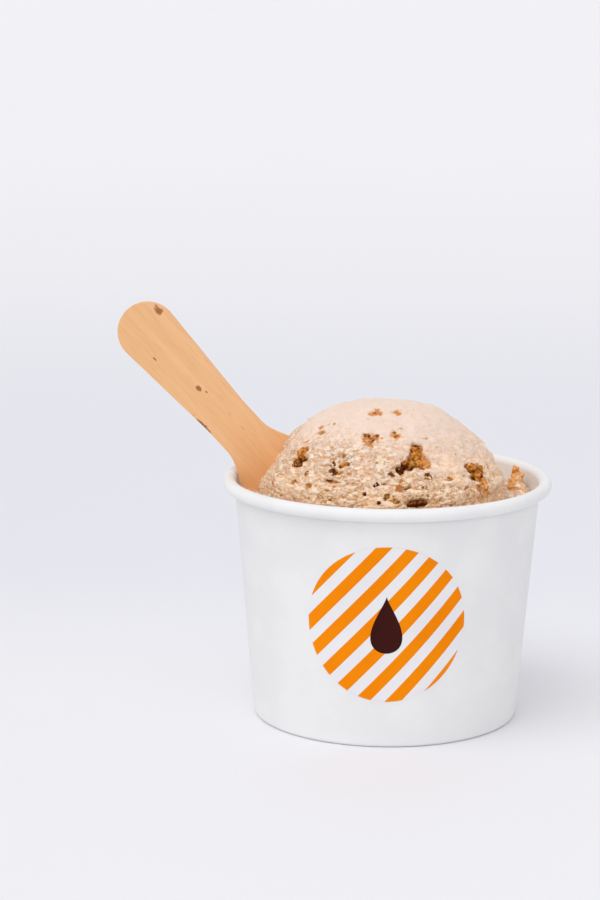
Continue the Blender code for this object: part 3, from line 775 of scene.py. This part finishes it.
def gelato_finish():
    """Cream, less orange at the top, with painted shade, golden to brown, in its hollows and cracks and a
    painted highlight where it stands out, and caramel stains in paler halos.
    """
    finish, tree, shader, position = new_finish("gelato_cream")
    height = add(tree, "SeparateXYZ", {0: position}).outputs["Z"]
    mottle = spots(tree, position, 260.0, 4.0, 0.6)
    lifted = sums(tree, "ADD", height, between(tree, mottle, 0.3, 0.7, -5 * MM, 5 * MM))
    upper = between(tree, lifted, *UPPER_CREAM)
    colour = tint(tree, upper, paint(255, 217, 180), paint(238, 214, 197))
    on_ring = between(tree, height, *RING_CREAM, 0.6, 0.0)
    colour = tint(tree, on_ring, colour, paint(246, 226, 210))
    rise = curd_rise(tree, position)
    hollow = sums(tree, "SUBTRACT", attribute(tree, "shade_and_highlight_depth"), sums(tree, "MULTIPLY", rise, CURD_SHADE))
    # Painted highlight where the surface stands out, then painted shade, golden and then brown, in the
    # hollows and cracks
    colour = tint(tree, between(tree, hollow, -0.2, -1.4, 0.0, 0.75), colour, paint(255, 240, 214))
    colour = tint(tree, between(tree, hollow, 0.2, 1.5, 0.0, 0.8), colour, paint(224, 166, 104))
    colour = tint(tree, between(tree, hollow, 1.4, 2.8, 0.0, 0.8), colour, paint(166, 98, 42))
    parts = add(tree, "SeparateColor", {0: attribute(tree, "stain", "Color")})
    most = sums(tree, "MAXIMUM", parts.outputs["Red"], parts.outputs["Green"])
    most = sums(tree, "MAXIMUM", most, parts.outputs["Blue"])
    grain = sums(tree, "MULTIPLY", hollow, 0.16)
    halo = between(tree, sums(tree, "ADD", most, grain), 0.15, 0.6, 0.0, 0.7)
    colour = tint(tree, halo, colour, paint(228, 168, 104))
    for channel, stain, core in (("Red", paint(200, 118, 50), 0.5), ("Blue", paint(156, 114, 58), 0.6),
                                 ("Green", paint(126, 70, 28), 0.45), ("Green", paint(62, 28, 10), 0.8)):
        amount = sums(tree, "ADD", parts.outputs[channel], grain)
        colour = tint(tree, between(tree, amount, core, core + 0.45, 0.0, 0.85), colour, stain)
    coat(tree, shader, colour, mottle, (0.42, 0.6), 0.3)
    shader.inputs["Subsurface Weight"].default_value = 0.1
    shader.inputs["Subsurface Radius"].default_value = (1.0, 0.5, 0.3)
    shader.inputs["Subsurface Scale"].default_value = 0.6 * MM
    raise_relief(tree, shader, rise, CURD_DEPTH)
    return finish


gelato_scoop = link_piece("gelato_scoop", shape_gelato(), gelato_finish(), smooth=80)
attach(gelato_scoop, "root")
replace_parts(gelato_scoop, "gelato")

# Caramel. Hard caramel was broken up and folded into the gelato.
# The large pieces sit in hollows of the scoop, chipped flat where they broke, blistered by sugar,
# dark where they caught in the pan and orange where the light comes through, and darker on their sides,
# partly burnt and partly painted shade.
SIDE_CARAMEL = [                  # place from the heap's top, width, depth, height, and how light it is
    ((-0.2, 0, -0.6), 1.7, 1.7, 2.4, 1.0), ((0.2, -0.2, -2.0), 2.8, 2.6, 2.6, 1.3),
    ((-0.3, -0.6, -3.4), 3.6, 3.2, 2.6, 1.6),
]
PIECE_SINK = 0.25                 # share of its depth that a lump's middle lies under the surface
CRUMB_SINK = 0.42
CRUMB_SHAPE = (1.35, 0.85, 0.9)   # width, height and depth over its size
LUMP_UNEVEN, LUMP_WAVES = 0.5, 2.6
LUMP_FACETING = 3
CARAMEL_GRAIN = 0.14 * MM         # size of the squares that the lumps are joined at
SPECK = 40                        # a loose bit with fewer points is dropped
CRUMBS_SHOWN = [                  # azimuth, height angle, size in mm, and how light it is
    (-12, 58, 1.6, 0.45), (-7, 56, 1.5, 0.6), (10, 59, 1.5, 0.65), (24, 40.3, 3.0, 0.15),
    (-3.5, 37.3, 2.5, -0.4), (9, 35, 2.0, 0.6), (14, 37, 1.5, 0.75), (22.5, 36.2, 1.2, 0.1),
    (2, 33, 1.7, 0.35), (6, 31, 1.6, 0.45), (-21, 44, 2.0, 0.7), (-26, 41, 1.9, 0.25),
    (-27, 44, 1.2, 0.1), (-26, 29.6, 1.5, 0.8), (-36, 34, 1.6, 0.5), (-46, 35, 1.5, 0.7),
    (-41, 39, 1.3, 0.5), (-54, 57, 1.6, 0.7), (72, 39, 1.2, 0.8), (35, 38, 1.3, 0.8),
    (-8.5, 33.7, 0.9, 0.0), (-1.6, 30.4, 0.9, 0.0),
]
CRUMBS_BEHIND = 9
CRUMBS_FROM, CRUMBS_TO = 105, 262   # azimuths of those at the back
CRUMB_SEED = 7
PIECE_BURNT_AND_SHADED, CRUMB_BURNT_AND_SHADED = 0.35, 0.2   # how much darker the sides are than the middle, partly burnt and partly painted shade


def add_lump(bm, size, seed, seat):
    """One uneven lump with three axes, its depth along Z."""
    shift = Vector((seed, 3.1 * seed, 0))
    for vert in bmesh.ops.create_icosphere(bm, subdivisions=LUMP_FACETING, radius=0.5)["verts"]:
        co = vert.co * (1 + LUMP_UNEVEN * noise.noise(vert.co * LUMP_WAVES + shift))
        vert.co = seat @ Vector(a * b * MM for a, b in zip(co, size))


def drop_specks(bm):
    """Takes away the loose bits and bubbles that melting leaves."""
    waiting = set(bm.verts)
    while waiting:
        edge = [waiting.pop()]
        whole = list(edge)
        while edge:
            vert = edge.pop()
            near = {link.other_vert(vert) for link in vert.link_edges} & waiting
            waiting -= near
            edge += near
            whole += near
        if len(whole) < SPECK:
            bmesh.ops.delete(bm, geom=whole, context="VERTS")


def join_lumps(bm):
    """Melts lumps that overlap into one closed skin of small squares."""
    mesh = bpy.data.meshes.new("lumps")
    bm.to_mesh(mesh)
    bm.free()
    whole = bpy.data.objects.new("lumps", mesh)
    bpy.context.scene.collection.objects.link(whole)
    melt = whole.modifiers.new("Melt", "REMESH")
    melt.mode = "VOXEL"
    melt.voxel_size = CARAMEL_GRAIN
    graph = bpy.context.evaluated_depsgraph_get()
    skin = bmesh.new()
    skin.from_mesh(whole.evaluated_get(graph).to_mesh())
    bpy.data.objects.remove(whole)
    drop_specks(skin)
    return skin


def blister(bm, lights, core, burnt):
    """Crags and burst sugar blisters, and the tone: lights gives (place, lightness).

    What faces sideways, seen from the core, is darker: partly burnt caramel, partly painted shade round
    each lump's outline.
    """
    bm.normal_update()
    tone = bm.verts.layers.float.new("tone")
    moved = []
    for vert in bm.verts:
        p = vert.co / MM
        near, _ = noise.voronoi(p * 0.85 + 0.3 * noise.noise_vector(p))
        burst = smoothstep(0.42, 0.12, near[0])
        crag = 0.25 * noise.noise(p * 0.9) + 0.2 * noise.noise(p * 2.2) - 0.3 * burst
        facing = vert.normal.dot((vert.co - core).normalized())
        reach = sorted(((vert.co - place).length, light) for place, light in lights)[:2]
        share = reach[0][0] / (reach[0][0] + reach[-1][0])
        light = reach[0][1] * (1 - share) + reach[-1][1] * share if len(reach) > 1 else reach[0][1]
        tone_and_shade = light + 0.4 * noise.noise(p * 0.8) + 0.55 * noise.noise(p * 2.1) - 0.2 * burst
        # Sides facing away from the core go darker: partly burnt, partly painted shade
        tone_and_shade -= burnt * (1 - smoothstep(0.2, 0.8, facing))
        moved.append((vert, vert.co + vert.normal * crag * MM, tone_and_shade))
    for vert, place, tone_and_shade in moved:
        vert.co = place
        vert[tone] = tone_and_shade
    return bm


def caramel_finish():
    """From dark brown through gold to orange by tone, with a sugary gloss."""
    finish, tree, shader, position = new_finish("hard_caramel")
    fine = spots(tree, position, 1100.0, 4.0, 0.7)
    tone = sums(tree, "ADD", attribute(tree, "tone"), between(tree, fine, 0.3, 0.7, -0.22, 0.22))
    burnt = spots(tree, position, 420.0, 2.0)
    brown = tint(tree, between(tree, burnt, 0.42, 0.58), paint(158, 90, 30), paint(170, 112, 40))
    colour = tint(tree, between(tree, tone, 0.0, 0.4), paint(82, 33, 6), brown)
    colour = tint(tree, between(tree, tone, 0.4, 0.75), colour, paint(212, 138, 62))
    colour = tint(tree, between(tree, tone, 0.8, 1.15), colour, paint(236, 176, 112))
    coat(tree, shader, colour, fine, (0.35, 0.6), 0.06)
    shader.inputs["Subsurface Weight"].default_value = 0.1
    shader.inputs["Subsurface Radius"].default_value = (1.0, 0.35, 0.1)
    shader.inputs["Subsurface Scale"].default_value = 0.6 * MM
    raise_relief(tree, shader, fine, 0.2 * MM)
    return finish


def cook_caramel(name, lumps, core, burnt):
    """A piece of caramel, its lumps given by size, seed, seat and how light each is."""
    bm = bmesh.new()
    for size, seed, seat, _ in lumps:
        add_lump(bm, size, seed, seat)
    lights = [(seat.translation, light) for _, _, seat, light in lumps]
    bm = blister(join_lumps(bm), lights, core, burnt)
    piece = link_piece(name, bm, hard_caramel, smooth=60)
    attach(piece, "root")
    return piece


hard_caramel = caramel_finish()
scoop_core = Vector((DOME_SHIFT, 0, DOME_MIDDLE))
for seed, (node, shown) in enumerate(CARAMEL_PIECES.items(), 1):
    lumps = []
    for number, (azimuth, angle, width, height, depth, light) in enumerate(shown):
        seat = seat_on_scoop(azimuth, angle, PIECE_SINK * depth * MM)
        lumps.append(((width, height, depth), 10 * seed + number, seat, light))
    piece = cook_caramel(node.replace("caramel", "broken"), lumps, scoop_core, PIECE_BURNT_AND_SHADED)
    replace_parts(piece, node)

heap_top = Vector((*SIDE_HEAP, RING_HEIGHT + SIDE_HEAP_RISE))
lumps = []
for number, (place, *size, light) in enumerate(SIDE_CARAMEL):
    lumps.append((size, 90 + number, Matrix.Translation(heap_top + Vector(place) * MM), light))
heap_foot = heap_top - Vector((0, 0, SIDE_HEAP_RISE))
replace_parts(cook_caramel("broken_side", lumps, heap_foot, CRUMB_BURNT_AND_SHADED), "caramel_side")

random.seed(CRUMB_SEED)
crumb_places = list(CRUMBS_SHOWN)
crumb_step = (CRUMBS_TO - CRUMBS_FROM) / CRUMBS_BEHIND
for i in range(CRUMBS_BEHIND):
    azimuth = CRUMBS_FROM + crumb_step * (i + random.uniform(0.1, 0.6))
    crumb_places.append((azimuth, random.uniform(36, 74), random.uniform(1.6, 2.6), 0.3 + 0.06 * i))
lumps = []
for i, (azimuth, angle, size, light) in enumerate(crumb_places):
    torn, _ = torn_relief(seat_on_scoop(azimuth, angle).translation)
    seat = seat_on_scoop(azimuth, angle, CRUMB_SINK * size * MM - torn)
    lumps.append(([size * share for share in CRUMB_SHAPE], 20 + i, seat, light))
cook_caramel("caramel_crumbs", lumps, scoop_core, CRUMB_BURNT_AND_SHADED)

# Spoon. A flat blank stamped from birch veneer, tumbled until its edges are soft.
# It stands in the gelato with its blade between the scoop and the wall, and its handle
# leans over the rim to the left.
SPOON_LENGTH = 94.0 * MM
SPOON_THICKNESS = 1.4 * MM
SPOON_TILT = math.radians(47.4)
SPOON_TIP = Vector((-59.5, 3.0, 92.5)) * MM
HANDLE_HALF = 6.85 * MM
WAIST_HALF = 5.25 * MM
BLADE_HALF = 9.0 * MM
WAIST_START = 33.0 * MM
SHOULDER_START = 39.5 * MM
SHOULDER_END = 51.0 * MM
SPOON_EDGE = 0.35 * MM            # how far its edges are rounded
SPOON_STEPS = 140
SPOON_TURN = (math.pi / 2, SPOON_TILT, 0)
DAMP_AND_SHADE_FROM, DAMP_AND_SHADE_TO = 35 * MM, 65 * MM   # from the tip, where the wood turns darker and more orange towards the gelato: partly damp wood, partly painted shade and painted warm light thrown back by the gelato
BIRCH_MARKS = [                   # along and across from the tip, then half length and half width, in mm
    (24.3, -0.2, 0.9, 0.55), (26.0, 0.6, 0.5, 0.25), (4.8, 5.3, 1.3, 0.8), (31.2, -5.2, 2.8, 0.45),
    (62.0, 3.0, 0.6, 0.3), (12.5, -3.0, 0.5, 0.2),
]


def spoon_half_width(s):
    """Half the spoon's width at a distance from the tip, with both ends round."""
    taper = (HANDLE_HALF - WAIST_HALF) * min(max(s - HANDLE_HALF, 0) / (WAIST_START - HANDLE_HALF), 1)
    half = HANDLE_HALF - taper + (BLADE_HALF - WAIST_HALF) * smoothstep(SHOULDER_START, SHOULDER_END, s)
    if s < HANDLE_HALF:
        half *= math.sqrt(max(1 - (1 - s / HANDLE_HALF) ** 2, 0))
    if s > SPOON_LENGTH - BLADE_HALF:
        half *= math.sqrt(max(1 - ((s - SPOON_LENGTH) / BLADE_HALF + 1) ** 2, 0))
    return half


def stamp_spoon():
    """A sheet of squares drawn in to the outline, thickened, and its edges softened."""
    bm = bmesh.new()
    bmesh.ops.create_grid(bm, x_segments=SPOON_STEPS, y_segments=8, size=1)
    for vert in bm.verts:
        along = SPOON_LENGTH * (1 - math.cos(math.pi * (vert.co.x + 1) / 2)) / 2
        vert.co = (along, vert.co.y * spoon_half_width(along), 0)
    bmesh.ops.remove_doubles(bm, verts=bm.verts, dist=5 * TOUCHING)
    thicken_flat(bm, SPOON_THICKNESS)
    bmesh.ops.translate(bm, verts=bm.verts, vec=(0, 0, -SPOON_THICKNESS / 2))
    rims = [e for e in bm.edges if e.calc_face_angle(0) > math.radians(60)]
    bmesh.ops.bevel(bm, geom=rims, offset=SPOON_EDGE, offset_type="OFFSET", segments=3, profile=0.5,
                    affect="EDGES", material=-1, clamp_overlap=True)
    turn = Euler(SPOON_TURN).to_matrix().to_4x4()
    bmesh.ops.transform(bm, verts=bm.verts, matrix=Matrix.Translation(SPOON_TIP) @ turn)
    return bm


def birch_finish():
    """Pale birch: long soft streaks, short flecks, a small knot and brown marks at the edges."""
    finish, tree, shader, position = new_finish("birch_veneer")
    lying = {"Vector": position, "Location": SPOON_TIP + AXIS, "Rotation": SPOON_TURN}
    own = add(tree, "Mapping", lying, vector_type="TEXTURE").outputs["Vector"]
    streak = spots(tree, stretch(tree, own, (30, 420, 420)), 1.0, 4.0, 0.6)
    fibre = spots(tree, stretch(tree, own, (160, 2600, 2600)), 1.0, 3.0, 0.6)
    colour = tint(tree, between(tree, streak, 0.3, 0.7), paint(245, 194, 143), paint(239, 185, 132))
    colour = tint(tree, between(tree, fibre, 0.45, 0.8, 0.0, 0.3), colour, paint(214, 150, 96))
    along = add(tree, "SeparateXYZ", {0: own}).outputs["X"]
    # Darker and more orange towards the gelato: partly damp wood, partly painted shade and painted warm
    # reflected light
    colour = tint(tree, between(tree, along, DAMP_AND_SHADE_FROM, DAMP_AND_SHADE_TO, 0.0, 0.6), colour, paint(229, 155, 88))
    flecks = add(tree, "TexVoronoi", {"Vector": stretch(tree, own, (260, 900, 900)), "Scale": 1.0})
    rare = add(tree, "SeparateColor", {0: flecks.outputs["Color"]}).outputs["Green"]
    fleck = sums(tree, "MULTIPLY", between(tree, flecks.outputs["Distance"], 0.1, 0.3, 1.0, 0.0),
                 between(tree, rare, 0.9, 0.92))
    colour = tint(tree, sums(tree, "MULTIPLY", fleck, 0.5), colour, paint(176, 112, 66))
    ragged = between(tree, spots(tree, own, 900.0, 3.0), 0.3, 0.7, -0.3, 0.3)
    for s, t, length, width in BIRCH_MARKS:
        scale = (1 / (length * MM), 1 / (width * MM), 0)
        near = stretch(tree, own, scale, (-s / length, -t / width, 0))
        out = add(tree, "VectorMath", {0: near}, operation="LENGTH").outputs["Value"]
        mark = between(tree, sums(tree, "ADD", out, ragged), 0.5, 1.15, 0.85, 0.0)
        colour = tint(tree, mark, colour, paint(150, 82, 44))
    coat(tree, shader, colour, fibre, (0.5, 0.66), 0.2)
    raise_relief(tree, shader, fibre, 0.05 * MM)
    return finish


birch_spoon = link_piece("birch_spoon", stamp_spoon(), birch_finish())
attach(birch_spoon, "root")
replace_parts(birch_spoon, "spoon")

# Floor, light and camera. The cup stands on a wide pale floor in bright, soft light
# that comes from everywhere and a little more from the left.
FLOOR_HALF = 9.0
WINDOW_POWER, WINDOW_WAY, WINDOW_SOFT = 0.9, (0.34, 0.36, -0.87), math.radians(45)
CARD_POWER, CARD_WAY, CARD_CONE = 10.5, (0, 0.92, -0.39), math.radians(11)
CARD_PLACE = Vector((0.005, -0.87, 0.35))
CARD_RADIUS = 0.12
EYE = Vector((0, -605.71, 181.98)) * MM + AXIS
AIM = Vector((-19.93, 0, 60.97)) * MM + AXIS
ROLL = math.radians(0.31)
SENSOR_WIDTH, FOCAL_LENGTH = 36, 108.32


def floor_finish():
    """Matt and nearly white, with a band of painted shade behind the cup and the palest part far off."""
    finish, tree, shader, position = new_finish("pale_floor")
    cloud = spots(tree, position, 7.0, 3.0)
    pale = tint(tree, cloud, paint(236, 236, 239), paint(234, 234, 237))
    # A greyer band behind the cup: painted shade
    back = add(tree, "SeparateXYZ", {0: position}).outputs["Y"]
    behind = between(tree, back, 0.3, 0.9, 0.45, 0.0)
    behind = sums(tree, "MULTIPLY", behind, between(tree, back, 0.0, 0.15))
    pale = tint(tree, behind, pale, paint(216, 218, 226))
    far = between(tree, back, 0.4, 1.6)
    coat(tree, shader, tint(tree, far, pale, paint(241, 240, 242)), cloud, (0.6, 0.7))
    return finish


bm = bmesh.new()
bmesh.ops.create_grid(bm, x_segments=8, y_segments=8, size=FLOOR_HALF)
floor = link_piece("floor", bm, floor_finish())

world = bpy.data.worlds.new("bright_room")
world.use_nodes = True
sky = world.node_tree.nodes["Background"]
sky.inputs["Color"].default_value = paint(252, 252, 255)
sky.inputs["Strength"].default_value = 0.8
bpy.context.scene.world = world


def light_lamp(name, kind, power, way, place=(0, 0, 0)):
    """A lamp that shines along a way."""
    light = bpy.data.lights.new(name, kind)
    light.energy = power
    lamp = bpy.data.objects.new(name, light)
    lamp.location = place
    lamp.rotation_euler = Vector(way).to_track_quat("-Z", "Y").to_euler()
    bpy.context.scene.collection.objects.link(lamp)
    return light


light_lamp("window_light", "SUN", WINDOW_POWER, WINDOW_WAY).angle = WINDOW_SOFT
card = light_lamp("front_card", "SPOT", CARD_POWER, CARD_WAY, CARD_PLACE + AXIS)
card.spot_size = CARD_CONE
card.spot_blend = 1.0
card.shadow_soft_size = CARD_RADIUS

forward = (AIM - EYE).normalized()
right = forward.cross(Vector((0, 0, 1))).normalized()
up = right.cross(forward)
level_right = right * math.cos(ROLL) + up * math.sin(ROLL)
level_up = up * math.cos(ROLL) - right * math.sin(ROLL)
lens = bpy.data.cameras.new("camera")
lens.sensor_width = SENSOR_WIDTH
lens.lens = FOCAL_LENGTH
camera = bpy.data.objects.new("camera", lens)
turn = Matrix((level_right, level_up, -forward)).transposed().to_4x4()
camera.matrix_world = Matrix.Translation(EYE) @ turn
bpy.context.scene.collection.objects.link(camera)
bpy.context.scene.camera = camera
bpy.context.scene.view_settings.view_transform = "Standard"
